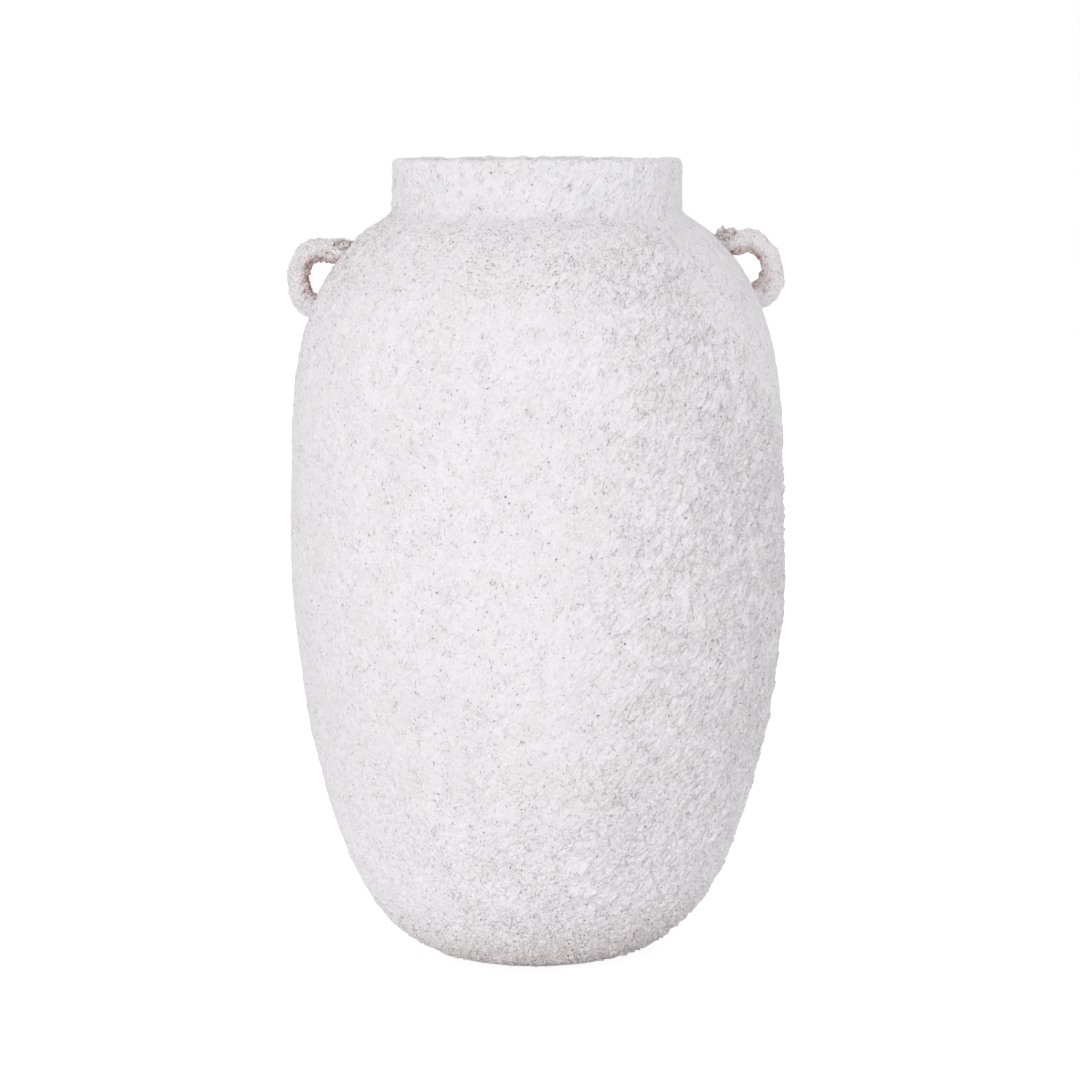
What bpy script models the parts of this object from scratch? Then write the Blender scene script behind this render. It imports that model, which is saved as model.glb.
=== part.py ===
"""Two-handled vase: a tall earthenware jar with a short upright neck and two small ear handles.

The jar is put together as a potter builds it: a base slab, a lower and an upper wall joined at the
belly, and a neck collar, each seated on the one below by a tongue that stands in a groove, then two
rolled handles whose ends are let into the shoulder, each end packed round with a wad of clay.

Metres, +Z up. The origin is the centre of the foot, and the handles stand towards -X and +X.
"""

import math

import bmesh
import bpy
from mathutils import Matrix, Vector

# Main form of the jar
HEIGHT = 0.400
FOOT_RADIUS = 0.052
BELLY_RADIUS = 0.125
BELLY_HEIGHT = 0.210
NECK_RADIUS = 0.0725
NECK_HEIGHT = 0.030
NECK_FILLET = 0.008

# How full the outline is below and above the belly: 2 and 2 would make a quarter ellipse
HEEL_FULLNESS = (2.08, 1.90)
SHOULDER_FULLNESS = (3.35, 1.60)

# Thickness of the clay
WALL = 0.009
BASE_THICKNESS = 0.012
LIP_ROUNDING = 0.0035

# Joints between the pieces
CLEARANCE = 0.0003
TONGUE_WIDTH = 0.003
TONGUE_HEIGHT = 0.004
SOCKET_DEPTH = 0.003

# Ear handles: the middle of each loop stands this far out from the wall
HANDLE_STANDOFF = 0.003
HANDLE_ARM_TURN = math.radians(97)
HANDLES = {
    "left": {"side": -1, "drop": 0.0285, "half_width": 0.0110, "half_height": 0.0140, "thickness": 0.0125},
    "right": {"side": 1, "drop": 0.0250, "half_width": 0.0125, "half_height": 0.0138, "thickness": 0.0122},
}

# Wads of clay round the handles' ends: reach along the wall, and rise from it
WAD_REACH = 0.0092
WAD_RISE = 0.0045

# Fineness of the faces
TURNED_STEPS = 48
OUTLINE_ROWS = 14
LIP_STEPS = 3
HANDLE_SIDES = 14
HANDLE_STEP = 0.22
WAD_SEGMENTS = 20
WAD_RINGS = 12
SMOOTH_ANGLE = math.radians(40)

# Colour of each clay, with its roughness
WHITE_SLIP = ((0.83, 0.81, 0.83), 0.95)
BARE_CLAY = ((0.55, 0.33, 0.26), 0.90)
HANDLE_CLAY = ((0.80, 0.76, 0.77), 0.92)
WAD_CLAY = ((0.68, 0.60, 0.58), 0.95)

# Heights worked out from the sizes above
BASE_SEAM = BASE_THICKNESS
BELLY_SEAM = BELLY_HEIGHT
NECK_SEAM = HEIGHT - NECK_HEIGHT
SHOULDER_END = NECK_SEAM + NECK_FILLET / 2


def fullness(share, powers):
    """How much of the bulge is left at a share of the way from the belly to the outline's end."""
    height_power, radius_power = powers
    return (1 - min(share, 1) ** height_power) ** (1 / radius_power)


def outer_radius(height):
    """Radius of the outside of the jar: heel, belly, shoulder, and a neck with a fillet at its foot."""
    if height <= BELLY_HEIGHT:
        share = (BELLY_HEIGHT - height) / BELLY_HEIGHT
        return FOOT_RADIUS + (BELLY_RADIUS - FOOT_RADIUS) * fullness(share, HEEL_FULLNESS)
    share = (height - BELLY_HEIGHT) / (SHOULDER_END - BELLY_HEIGHT)
    inside_neck = NECK_RADIUS - NECK_FILLET
    shoulder = inside_neck + (BELLY_RADIUS - inside_neck) * fullness(share, SHOULDER_FULLNESS)
    nearness = max(0, 1 - abs(shoulder - NECK_RADIUS) / NECK_FILLET)
    return max(shoulder, NECK_RADIUS) + NECK_FILLET * nearness ** 2 / 4


def lean(height):
    """Change of the outside's radius for each unit of height."""
    reach = 0.0005
    return (outer_radius(height + reach) - outer_radius(height - reach)) / (2 * reach)


def radius_at_depth(height, depth):
    """Radius of the surface that lies this deep under the outside of the jar."""
    return outer_radius(height) - depth * math.hypot(1, lean(height))


def bore_radius(height):
    """Radius of the inside of the jar, which above the belly is never narrower than the neck's bore."""
    inside = radius_at_depth(height, WALL)
    return inside if height < BELLY_HEIGHT else max(inside, NECK_RADIUS - WALL)


def outline_heights():
    """Heights of the rows of faces, closer together where the outline turns faster."""
    quarter = [math.sin(math.pi / 2 * row / OUTLINE_ROWS) for row in range(OUTLINE_ROWS + 1)]
    below = [BELLY_HEIGHT * (1 - share) for share in quarter]
    above = [BELLY_HEIGHT + (SHOULDER_END - BELLY_HEIGHT) * share for share in quarter]
    return sorted(set(below + above))


def heights_between(low, high):
    """The rows from low to high, without any that would leave a sliver beside an end."""
    sliver = 2 * CLEARANCE
    inside = [height for height in outline_heights() if low + sliver < height < high - sliver]
    return [low] + inside + [high]


def seam_middle(seam):
    return (outer_radius(seam) + bore_radius(seam)) / 2


def tongue(seam):
    """Top of a section, from the inside out, with the tongue that stands up from it."""
    middle = seam_middle(seam)
    half = TONGUE_WIDTH / 2
    crest = seam + TONGUE_HEIGHT
    return [(middle - half, seam), (middle - half, crest), (middle + half, crest), (middle + half, seam)]


def groove(seam):
    """Underside of a section, from the outside in, with the groove that takes the tongue below it."""
    middle = seam_middle(seam)
    half = TONGUE_WIDTH / 2 + CLEARANCE
    foot = seam + CLEARANCE
    crown = seam + TONGUE_HEIGHT + 2 * CLEARANCE
    return [(middle + half, foot), (middle + half, crown), (middle - half, crown), (middle - half, foot)]


def wall_profile(low_seam, high_seam):
    """Closed profile of a wall section: down the outside, across the groove, up the inside, over the tongue."""
    heights = heights_between(low_seam + CLEARANCE, high_seam)
    outside = [(outer_radius(height), height) for height in reversed(heights)]
    inside = [(bore_radius(height), height) for height in heights]
    return outside + groove(low_seam) + inside + tongue(high_seam)


def base_profile():
    """Profile of the base slab, from the axis over its floor and tongue, and down its outside to the foot."""
    outside = [(outer_radius(height), height) for height in reversed(heights_between(0, BASE_SEAM))]
    return [(0, BASE_SEAM)] + tongue(BASE_SEAM) + outside + [(0, 0)]


def neck_profile():
    """Closed profile of the neck collar, with a rounded lip and a groove in its underside."""
    low = NECK_SEAM + CLEARANCE
    spring = HEIGHT - LIP_ROUNDING
    heights = [height for height in heights_between(low, spring) if height < spring]
    outside = [(outer_radius(height), height) for height in reversed(heights)]
    inside = [(bore_radius(height), height) for height in heights]
    turns = [math.pi / 2 * step / LIP_STEPS for step in range(LIP_STEPS + 1)]
    arc = [(LIP_ROUNDING * (1 - math.cos(turn)), spring + LIP_ROUNDING * math.sin(turn)) for turn in turns]
    inner_lip = [(NECK_RADIUS - WALL + inset, height) for inset, height in arc]
    outer_lip = [(NECK_RADIUS - inset, height) for inset, height in reversed(arc)]
    return outside + groove(NECK_SEAM) + inside + inner_lip + outer_lip


def loop_point(handle, turn, way):
    """Point of a handle's centreline, a turn past its outermost point, upwards (1) or downwards (-1).

    The loop is part of an ellipse, and past HANDLE_ARM_TURN it runs straight on into the wall.
    """
    centre_height = NECK_SEAM - handle["drop"]
    centre = Vector((outer_radius(centre_height) + HANDLE_STANDOFF, 0, centre_height))
    bend = min(turn, HANDLE_ARM_TURN)
    wide, tall = handle["half_width"], handle["half_height"] * way
    point = centre + Vector((wide * math.cos(bend), 0, tall * math.sin(bend)))
    along = Vector((-wide * math.sin(bend), 0, tall * math.cos(bend)))
    return point + along * (turn - bend)


def turn_at_depth(handle, way, depth):
    """How far the centreline turns, one way, before it is this deep under the outside of the jar."""
    turn = 0
    point = loop_point(handle, turn, way)
    while point.x > radius_at_depth(point.z, depth):
        turn += HANDLE_STEP / 20
        point = loop_point(handle, turn, way)
    return turn


def handle_path(handle):
    """Centreline of a handle, from its upper end to its lower end, both well inside the wall."""
    half_path = {}
    for way in (1, -1):
        last = turn_at_depth(handle, way, SOCKET_DEPTH + handle["thickness"])
        count = math.ceil(last / HANDLE_STEP)
        half_path[way] = [loop_point(handle, last * step / count, way) for step in range(count + 1)]
    path = half_path[1][::-1] + half_path[-1][1:]
    return [Vector((point.x * handle["side"], 0, point.z)) for point in path]


def new_collection(name):
    collection = bpy.data.collections.new(name)
    bpy.context.scene.collection.children.link(collection)
    return collection


def add_object(name, data, collection):
    thing = bpy.data.objects.new(name, data)
    collection.objects.link(thing)
    return thing


def add_cutter(name, data, cutters):
    cutter = add_object(name, data, cutters)
    cutter.hide_render = True
    cutter.display_type = "WIRE"
    return cutter


def profile_mesh(name, profile, closed):
    """A line of edges in the XZ plane through the profile's (radius, height) points."""
    mesh = bpy.data.meshes.new(name)
    corners = [(radius, 0, height) for radius, height in profile]
    edges = [(index, index + 1) for index in range(len(corners) - 1)]
    if closed:
        edges.append((len(corners) - 1, 0))
    mesh.from_pydata(corners, edges, [])
    return mesh


def turn_round(thing):
    """Turn the object's profile all the way round Z."""
    screw = thing.modifiers.new("turned", "SCREW")
    screw.steps = TURNED_STEPS
    screw.render_steps = TURNED_STEPS
    screw.use_merge_vertices = True
    screw.merge_threshold = 0.00001
    return thing


def cut(thing, cutter):
    boolean = thing.modifiers.new("cut by " + cutter.name, "BOOLEAN")
    boolean.operation = "DIFFERENCE"
    boolean.solver = "EXACT"
    boolean.object = cutter


def evaluated_mesh(thing):
    graph = bpy.context.evaluated_depsgraph_get()
    return bpy.data.meshes.new_from_object(thing.evaluated_get(graph))


def tube_mesh(name, path, radius, cutters):
    """Closed tube along the path, made from a bevelled curve with its caps welded on."""
    curve = bpy.data.curves.new(name, "CURVE")
    curve.dimensions = "3D"
    curve.bevel_depth = radius
    curve.bevel_resolution = HANDLE_SIDES // 2 - 2
    curve.use_fill_caps = True
    spline = curve.splines.new("POLY")
    spline.points.add(len(path) - 1)
    for point, place in zip(spline.points, path):
        point.co = (*place, 1)
    tube = add_object(name, curve, cutters)
    bpy.context.view_layer.update()
    mesh = evaluated_mesh(tube)
    bpy.data.objects.remove(tube)
    faces = bmesh.new()
    faces.from_mesh(mesh)
    bmesh.ops.remove_doubles(faces, verts=faces.verts, dist=0.00001)
    faces.to_mesh(mesh)
    faces.free()
    return mesh


def add_core(name, depth, cutters):
    """Solid of revolution that fills the jar up to a surface this deep under its outside."""
    heights = heights_between(BASE_SEAM + CLEARANCE, NECK_SEAM)
    outside = [(radius_at_depth(height, depth), height) for height in reversed(heights)]
    profile = [(0, heights[-1])] + outside + [(0, heights[0])]
    return turn_round(add_cutter(name, profile_mesh(name, profile, False), cutters))


def make_material(name, clay):
    colour, roughness = clay
    material = bpy.data.materials.new(name)
    material.use_nodes = True
    shader = material.node_tree.nodes["Principled BSDF"]
    shader.inputs["Base Color"].default_value = (*colour, 1)
    shader.inputs["Roughness"].default_value = roughness
    shader.inputs["Metallic"].default_value = 0
    return material


def finish(thing, clay):
    """Keep what the modifiers made, shade its round faces smooth, and give it its clay."""
    mesh = evaluated_mesh(thing)
    thing.modifiers.clear()
    thing.data = mesh
    mesh.shade_smooth()
    mesh.set_sharp_from_angle(angle=SMOOTH_ANGLE)
    mesh.materials.clear()
    mesh.materials.append(make_material(thing.name + "_clay", clay))


def add_turned(name, profile, closed, vase):
    return turn_round(add_object(name, profile_mesh(name, profile, closed), vase))


def add_handle(label, handle, cores, vase, cutters):
    """A rolled handle whose ends are cut to the sockets' floors, and the cutter that makes the sockets."""
    path = handle_path(handle)
    radius = handle["thickness"] / 2
    name = label + "_handle"
    body = add_object(name, tube_mesh(name, path, radius, cutters), vase)
    cut(body, cores["socket_floor"])
    name = label + "_handle_room"
    room = add_cutter(name, tube_mesh(name, path, radius + CLEARANCE, cutters), cutters)
    name = label + "_handle_sockets"
    sockets = add_cutter(name, room.data.copy(), cutters)
    cut(sockets, cores["socket_cut"])
    return body, room, sockets


def add_wad(name, handle, way, room, cores, vase):
    """A flattened wad of clay on the wall round one end of a handle."""
    turn = turn_at_depth(handle, way, 0)
    place = loop_point(handle, turn, way)
    before = loop_point(handle, turn - HANDLE_STEP / 20, way)
    outward = Vector((1, 0, -lean(place.z))).normalized()
    across = Vector((0, 1, 0))
    down_wall = outward.cross(across)
    squareness = outward.dot((before - place).normalized())
    frame = Matrix((down_wall, across, outward)).transposed().to_4x4()
    stretch = Matrix.Diagonal((WAD_REACH / squareness, WAD_REACH, WAD_RISE, 1))
    side = Matrix.Rotation(0 if handle["side"] > 0 else math.pi, 4, "Z")
    lump = bmesh.new()
    bmesh.ops.create_uvsphere(lump, u_segments=WAD_SEGMENTS, v_segments=WAD_RINGS, radius=1)
    lump.transform(side @ Matrix.Translation(place) @ frame @ stretch)
    mesh = bpy.data.meshes.new(name)
    lump.to_mesh(mesh)
    lump.free()
    wad = add_object(name, mesh, vase)
    cut(wad, room)
    cut(wad, cores["wad_seat"])
    return wad


def build():
    vase = new_collection("two_handled_vase")
    cutters = new_collection("cutters")
    cores = {
        "socket_floor": add_core("socket_floor", SOCKET_DEPTH, cutters),
        "socket_cut": add_core("socket_cut", SOCKET_DEPTH + CLEARANCE, cutters),
        "wad_seat": add_core("wad_seat", -CLEARANCE, cutters),
    }
    base = add_turned("base_slab", base_profile(), False, vase)
    lower = add_turned("lower_wall", wall_profile(BASE_SEAM, BELLY_SEAM), True, vase)
    upper = add_turned("upper_wall", wall_profile(BELLY_SEAM, NECK_SEAM), True, vase)
    neck = add_turned("neck_collar", neck_profile(), True, vase)
    clays = {base: BARE_CLAY, lower: WHITE_SLIP, upper: WHITE_SLIP, neck: WHITE_SLIP}
    for label, handle in HANDLES.items():
        body, room, sockets = add_handle(label, handle, cores, vase, cutters)
        cut(upper, sockets)
        clays[body] = HANDLE_CLAY
        for place, way in (("upper", 1), ("lower", -1)):
            wad = add_wad(label + "_" + place + "_clay_wad", handle, way, room, cores, vase)
            clays[wad] = WAD_CLAY
    bpy.context.view_layer.update()
    for thing, clay in clays.items():
        finish(thing, clay)


for leftover in list(bpy.data.objects):
    bpy.data.objects.remove(leftover)
build()
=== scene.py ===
"""Looks of the two-handled vase: rough white slip in real relief over clay, in a plain white studio."""

import math
from concurrent.futures import ThreadPoolExecutor
from functools import partialmethod

import bpy
import numpy as np
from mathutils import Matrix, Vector


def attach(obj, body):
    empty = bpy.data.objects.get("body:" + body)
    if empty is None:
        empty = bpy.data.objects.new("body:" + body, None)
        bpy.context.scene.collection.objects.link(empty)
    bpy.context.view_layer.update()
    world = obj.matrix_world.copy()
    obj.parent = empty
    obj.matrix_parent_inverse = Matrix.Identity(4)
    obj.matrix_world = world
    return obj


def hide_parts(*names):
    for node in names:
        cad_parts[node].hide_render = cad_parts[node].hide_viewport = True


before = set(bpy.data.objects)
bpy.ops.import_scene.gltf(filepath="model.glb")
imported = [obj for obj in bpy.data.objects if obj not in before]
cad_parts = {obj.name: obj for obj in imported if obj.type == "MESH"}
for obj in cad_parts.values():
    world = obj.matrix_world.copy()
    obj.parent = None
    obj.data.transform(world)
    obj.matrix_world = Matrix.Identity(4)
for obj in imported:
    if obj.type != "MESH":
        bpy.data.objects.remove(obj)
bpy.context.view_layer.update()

MM = 0.001

# Form of the jar, the same as in the frame's solids
HEIGHT = 400 * MM
FOOT_RADIUS = 52 * MM
BELLY_RADIUS = 125 * MM
BELLY_HEIGHT = 210 * MM
NECK_RADIUS = 72.5 * MM
NECK_HEIGHT = 30 * MM
NECK_FILLET = 8 * MM
HEEL_FULLNESS = (2.08, 1.90)
SHOULDER_FULLNESS = (3.35, 1.60)
WALL = 9 * MM
BASE_THICKNESS = 12 * MM
LIP_ROUNDING = 3.5 * MM
NECK_SEAM = HEIGHT - NECK_HEIGHT
SHOULDER_END = NECK_SEAM + NECK_FILLET / 2

# Direction in which the slip was drawn over the jar, up to the right, and how much longer it made the lumps
DRAWN_TURN = math.radians(40)
DRAWN_TILT = math.radians(46)
DRAWN_STRETCH = 1.75

# How far the body sways to the right and swells, in millimetres, at heights in millimetres
SWAY = ((0, -0.4), (12, 0.0), (40, 0.85), (75, 0.5), (115, 1.1), (155, 1.0), (205, 0.55), (245, 0.1),
        (300, 0))
SWELL = ((0, -1.5), (12, -0.5), (26, 0.3), (42, 0.6), (60, -0.4), (90, -0.6), (110, -0.15), (150, -0.1),
         (190, 0.5), (215, 0.1), (250, -0.7), (265, -0.4), (290, 0), (310, 0.2), (330, 0))

# Ear handles, as in the frame but for a millimetre or two. HANDLE_SINK is how deep the middle of an end lies
# in the wall, HANDLE_FLARE how much wider it grows there, and swelling how much thicker it is, in
# millimetres, at turns in degrees from its outermost point. bareness is inside, and coating outside.
HANDLE_STANDOFF = 3 * MM
HANDLE_ARM_TURN = math.radians(97)
HANDLE_SINK = 1.5 * MM
HANDLE_FLARE = 0.18
HANDLES = {
    "left": {"side": -1, "drop": 30.2 * MM, "wide": 11.3 * MM, "tall": 14.5 * MM, "thickness": 12.4 * MM,
             "swelling": ((-70, 0), (0, -0.7), (45, 0.0), (85, 0.4)), "bareness": 1.0, "coating": 0.9},
    "right": {"side": 1, "drop": 25.0 * MM, "wide": 12.5 * MM, "tall": 13.8 * MM, "thickness": 12.2 * MM,
              "swelling": ((-70, 1.7), (-45, 1.9), (-20, 0.6), (0, -1.2), (45, -1.8), (85, 0)),
              "bareness": 0.85, "coating": 0.1},
}

# Wads of clay at the handles' roots, in millimetres: how far along the arm and up each lies from the root,
# its reach across the arm, up and along it, and how lumpy it is. The last number is how thick with specks.
WADS = {
    "left_upper": (0.6, 3.6, 7.4, 3.1, 6.2, 1.3, 1.3),
    "left_lower": (0.0, 0.0, 7.3, 5.0, 2.5, 0.5, 0.5),
    "right_upper": (1.2, 3.8, 7.2, 4.0, 5.6, 1.5, 0.8),
    "right_lower": (3.8, 2.6, 8.0, 6.6, 4.4, 0.6, 0.4),
}

# Strength of the relief on the left, what the rough right adds, and what is taken off round the right
# handle's root, where the slip was smoothed this far
SMOOTH_STRENGTH = 0.65
ROUGH_STRENGTH = 0.70
SMOOTHING = 0.25
SMOOTHED = 130 * MM

# Forms of the slip's relief, in millimetres: how broad or far apart, and how high, deep or leaning some are
DIP_SIZE, DIP_HEIGHT = 34, 0.50
PATCH_SIZE = 19
DENT_SIZE, DENT_HEIGHT = 13, 0.45
FISSURE_SIZE = 7
UPPER_FLAKE_SIZE = 6.0
CRACK_SIZE, CRACK_DEPTH = 5.5, 0.34
PEBBLE_SIZE = 4.8
LOWER_FLAKE_SIZE, FLAKE_RISE = 4.6, 0.28
LUMP_SIZE, LUMP_LEAN = 4.2, 1.5
WARP_SIZE, WARP_REACH = 4.2, 0.9
STUD_SIZE, STUD_HEIGHT = 3.2, 0.70
CRUMB_SIZE = 2.1
KNOB_SIZE, KNOB_LEAN = 2.0, 0.7
GRAIN_SIZE = 1.45
MEAN_RISE = 0.55

# Rings that a potter's fingers leave inside, with their depth in millimetres
FINGER_PITCH = 8.5 * MM
FINGER_DEPTH = 0.28

# Fineness of the meshes
COLUMNS = 1440
NECK_COLUMNS = 960
INSIDE_COLUMNS = 288
ROW_STEP = 0.55 * MM
INSIDE_STEP = 0.9 * MM
BAND_LENGTH = 34.5 * MM
TUCK = 0.2 * MM
THROWING_STEP = 2.2 * MM
HANDLE_STEP = 0.4 * MM
HANDLE_COLUMNS = 100
WAD_ROWS = 90
WAD_COLUMNS = 140
OUTLINE_SAMPLES = 2000
NECK_SAMPLES = 200
LIP_SAMPLES = 30
LOOP_SAMPLES = 4000
POINTS_AT_A_TIME = 20000

# Radii in millimetres where the meshes of the underside and the floor change, and gaps to the outside
UNDERSIDE_EDGES = (0.8, 4, 14, 40)
FLOOR_EDGES = (62, 14, 4, 0.8)
FLOOR_START = 64 * MM
RIM_MARGIN = 0.2 * MM
SEAM_MARGIN = 2.5 * MM

# Bake's map: the strips of a wall and a handle, the shares that a strip and a sheet fill, and a seam's room
WALL_STRIPS = 5
HANDLE_STRIPS = 2
STRIP_SHARE = 0.95
SHEET_SHARE = 0.97
SEAM_ROOM = 8


# Noise from a seeded lattice of random values, read at points given in cells

class Lattice:
    """Random values on a lattice that repeats every 256 cells."""

    SIZE = 256

    def __init__(self, seed):
        random = np.random.default_rng(seed)
        self.order = random.permutation(self.SIZE).astype(np.int32)
        direction = random.normal(size=(self.SIZE, 3))
        self.slopes = (direction / np.linalg.norm(direction, axis=1)[:, None]).astype(np.float32)
        self.spots = random.random((self.SIZE, 3)).astype(np.float32)
        self.values = random.random(self.SIZE).astype(np.float32)

    def pick(self, cell):
        """One number below SIZE for each cell, the same whenever that cell is asked for."""
        last = self.SIZE - 1
        first = self.order[cell[:, 0] & last]
        second = self.order[(first + cell[:, 1]) & last]
        return self.order[(second + cell[:, 2]) & last]

    def smooth(self, points):
        """Gradient noise, about -1 to 1."""
        cell = np.floor(points).astype(np.int32)
        inside = (points - cell).astype(np.float32)
        ease = inside ** 3 * (inside * (inside * 6 - 15) + 10)
        total = np.zeros(len(points), np.float32)
        for corner in np.ndindex(2, 2, 2):
            step = np.array(corner, np.int32)
            slope = self.slopes[self.pick(cell + step)]
            share = np.prod(np.where(step, ease, 1 - ease), axis=1)
            total += share * np.einsum("ij,ij->i", slope, inside - step)
        return total * 1.6

    def cells(self, points):
        """Distances to the nearest and the second spot, with one in each cell, and the nearest's value."""
        cell = np.floor(points).astype(np.int32)
        inside = (points - cell).astype(np.float32)
        nearest = np.full(len(points), 9, np.float32)
        second = nearest.copy()
        value = np.zeros(len(points), np.float32)
        for neighbour in np.ndindex(3, 3, 3):
            step = np.array(neighbour, np.int32) - 1
            number = self.pick(cell + step)
            apart = self.spots[number] + step - inside
            distance = np.sqrt(np.einsum("ij,ij->i", apart, apart))
            closer = distance < nearest
            second = np.where(closer, nearest, np.minimum(second, distance))
            value = np.where(closer, self.values[number], value)
            nearest = np.where(closer, distance, nearest)
        return nearest, second, value


UNDULATION, HOLLOWS, WARP, FLAKES, CRUMBS, STUDS, PATCHES, CLAY = (Lattice(seed) for seed in range(11, 19))


def ramp(values, low, high):
    """0 up to low, 1 from high, and a smooth rise between."""
    share = np.clip((values - low) / (high - low), 0, 1)
    return share * share * (3 - 2 * share)


def rises(height, knots):
    """Offset in metres at these heights, eased from each (height, offset) in millimetres to the next."""
    offset = np.full(height.shape, float(knots[0][1]))
    for (low, before), (high, after) in zip(knots, knots[1:]):
        offset += (after - before) * ramp(height, low * MM, high * MM)
    return offset * MM


# Outline of the jar

def fullness(share, powers):
    height_power, radius_power = powers
    return (1 - share ** height_power) ** (1 / radius_power)


def outer_radius(height):
    """Radius of the outside of the jar at these heights."""
    below = np.clip((BELLY_HEIGHT - height) / BELLY_HEIGHT, 0, 1)
    above = np.clip((height - BELLY_HEIGHT) / (SHOULDER_END - BELLY_HEIGHT), 0, 1)
    heel = FOOT_RADIUS + (BELLY_RADIUS - FOOT_RADIUS) * fullness(below, HEEL_FULLNESS)
    inside_neck = NECK_RADIUS - NECK_FILLET
    shoulder = inside_neck + (BELLY_RADIUS - inside_neck) * fullness(above, SHOULDER_FULLNESS)
    nearness = np.maximum(0, 1 - np.abs(shoulder - NECK_RADIUS) / NECK_FILLET)
    blended = np.maximum(shoulder, NECK_RADIUS) + NECK_FILLET * nearness ** 2 / 4
    return np.where(height <= BELLY_HEIGHT, heel, blended)


def lean(height):
    reach = 0.5 * MM
    return (outer_radius(height + reach) - outer_radius(height - reach)) / (2 * reach)


def bore_radius(height):
    inside = outer_radius(height) - WALL * np.hypot(1, lean(height))
    return np.where(height < BELLY_HEIGHT, inside, np.maximum(inside, NECK_RADIUS - WALL))


def jar_line():
    """Close (radius, height) points up the outside, over the lip and down inside the neck to its seam."""
    spring = HEIGHT - LIP_ROUNDING
    quarter = np.sin(np.linspace(0, math.pi / 2, OUTLINE_SAMPLES))
    below = BELLY_HEIGHT * (1 - quarter[::-1])
    above = BELLY_HEIGHT + (SHOULDER_END - BELLY_HEIGHT) * quarter[1:]
    neck = np.linspace(SHOULDER_END, spring, NECK_SAMPLES)[1:-1]
    heights = np.concatenate([below, above, neck])
    outside = np.stack([outer_radius(heights), heights], axis=1)
    turns = np.linspace(0, math.pi / 2, LIP_SAMPLES)
    inset = LIP_ROUNDING * (1 - np.cos(turns))
    rise = spring + LIP_ROUNDING * np.sin(turns)
    outer_lip = np.stack([NECK_RADIUS - inset, rise], axis=1)
    inner_lip = np.stack([NECK_RADIUS - WALL + inset, rise], axis=1)[::-1]
    heights = np.linspace(spring, NECK_SEAM, NECK_SAMPLES)[1:]
    inside = np.stack([bore_radius(heights), heights], axis=1)
    return np.concatenate([outside, outer_lip, inner_lip, inside])


def lengths_along(line):
    return np.concatenate([[0], np.cumsum(np.hypot(*np.diff(line, axis=0).T))])


def read_line(line, lengths, stations):
    return np.stack([np.interp(stations, lengths, line[:, axis]) for axis in (0, 1)], axis=1)


# Sheets of points and the meshes made of them

class Sheet:
    """A grid of points, rows by columns, closed across its columns, with the marks that its material reads.

    Its faces turn outwards where the rows climb and the columns run counterclockwise. A sheet of one row
    and one column is a pole, which faces this way.
    """

    MARKS = {"crease": 0, "crumbly": 0, "bare": 0, "lower": -1, "upper": -1, "rough": 0.5, "specks": 0.3}

    def __init__(self, points, strips=1, facing=(0, 0, 1), **marks):
        self.points = np.asarray(points, float)
        self.rows, self.columns = self.points.shape[:2]
        self.strips = strips
        self.facing = np.array(facing, float)
        self.marks = {name: np.broadcast_to(np.asarray(value, float), (self.rows, self.columns))
                      for name, value in {**self.MARKS, **marks}.items()}

    def normals(self):
        """Outward normal at each point."""
        if self.rows == 1:
            return np.tile(self.facing, (self.rows, self.columns, 1))
        along = np.gradient(self.points, axis=0)
        around = np.roll(self.points, -1, axis=1) - np.roll(self.points, 1, axis=1)
        normals = np.cross(around, along)
        return normals / np.maximum(np.linalg.norm(normals, axis=2), 1e-12)[:, :, None]

    def rows_between(self, first, last):
        marks = {name: value[first:last + 1] for name, value in self.marks.items()}
        return Sheet(self.points[first:last + 1], strips=self.strips, **marks)

    @staticmethod
    def joined(below, above):
        """One sheet of the rows of two that have as many columns."""
        marks = {name: np.concatenate([below.marks[name], above.marks[name]]) for name in Sheet.MARKS}
        return Sheet(np.concatenate([below.points, above.points]), strips=below.strips, **marks)

    def quads(self, first_vertex, low, high):
        """Faces, and for each the places of its corners in the bake's map, between these two heights."""
        row, column = np.divmod(np.arange((self.rows - 1) * self.columns), self.columns)
        beside = (column + 1) % self.columns
        here, above = row * self.columns, (row + 1) * self.columns
        corners = np.stack([here + column, here + beside, above + beside, above + column], axis=1)
        width = self.columns // self.strips
        strip, place = np.divmod(column, width)
        left, right = place / width, (place + 1) / width
        strip_height = (high - low) / self.strips
        bottom, top = (low + strip_height * (strip + STRIP_SHARE * edge / (self.rows - 1))
                       for edge in (row, row + 1))
        across = np.stack([left, right, right, left], axis=1)
        up = np.stack([bottom, bottom, top, top], axis=1)
        return first_vertex + corners, np.stack([across, up], axis=2)


def stitch(first, second, low, high):
    """Triangles from a sheet's last row to the next sheet's first.

    first and second are (first vertex of the row, number of its points), and one number is a multiple of the
    other. Gives each triangle's corners and their places in the bake's map.
    """
    rings = [(*first, low), (*second, high)]
    fine, coarse = sorted(rings, key=lambda ring: -ring[1])
    steps = fine[1] // coarse[1]
    triangles = []
    for index in range(coarse[1]):
        for step in range(steps):
            point = index * steps + step
            side = index + (step >= steps / 2)
            triangles.append([(fine, point), (fine, point + 1), (coarse, side)])
        if coarse[1] > 1:
            middle = index * steps + math.ceil(steps / 2)
            triangles.append([(fine, middle), (coarse, index + 1), (coarse, index)])
    if coarse is rings[0]:
        triangles = [triangle[::-1] for triangle in triangles]
    corners = [[ring[0] + point % ring[1] for ring, point in triangle] for triangle in triangles]
    places = [[(point / ring[1], ring[2]) for ring, point in triangle] for triangle in triangles]
    return np.array(corners), np.array(places)


def fill(collection, name, parts, kind=np.float32):
    """Set this property of every item in a mesh's collection from these arrays, one after another."""
    collection.foreach_set(name, np.concatenate([part.ravel() for part in parts]).astype(kind))


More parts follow.
